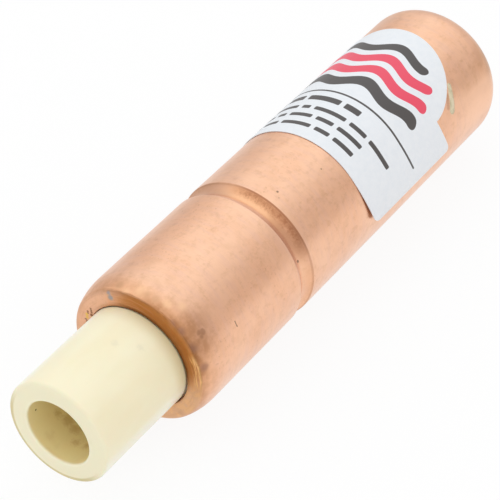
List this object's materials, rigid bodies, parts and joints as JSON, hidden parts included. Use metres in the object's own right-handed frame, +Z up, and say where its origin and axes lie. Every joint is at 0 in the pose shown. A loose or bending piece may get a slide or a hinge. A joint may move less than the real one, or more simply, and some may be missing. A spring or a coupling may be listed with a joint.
{
  "type": "water hammer arrestor",
  "caption": "Copper air chamber with a domed end, a rolled groove and a sealed sliding piston, on a plastic spigot that is welded into a pipe fitting to absorb pressure surges.",
  "frame": {"origin": "centre of the spigot's free end face, on the tube's axis", "axes": "+X along the tube's axis from the spigot to the dome, +Z up with the part lying level"},
  "size_m": [0.098, 0.023, 0.0223],
  "materials": {
    "copper": "satin copper, brushed round the tube",
    "cream_plastic": "satin moulded",
    "seal_rubber": "matte",
    "piston_plastic": "satin moulded",
    "label_paper": "coated paper"
  },
  "bodies": {
    "chamber": {"copper_body": "copper", "cpvc_tailpiece": "cream_plastic", "tailpiece_o_ring_front": "seal_rubber", "tailpiece_o_ring_rear": "seal_rubber", "label": "label_paper"},
    "piston": {"piston": "piston_plastic", "piston_o_ring_front": "seal_rubber", "piston_o_ring_rear": "seal_rubber"}
  },
  "joints": [
    {"name": "piston_slide", "type": "slide", "parent": "chamber", "child": "piston", "axis": [1, 0, 0], "range_m": [0, 0.03], "stiffness_N_per_m": 10, "springref_m": -0.01}
  ]
}
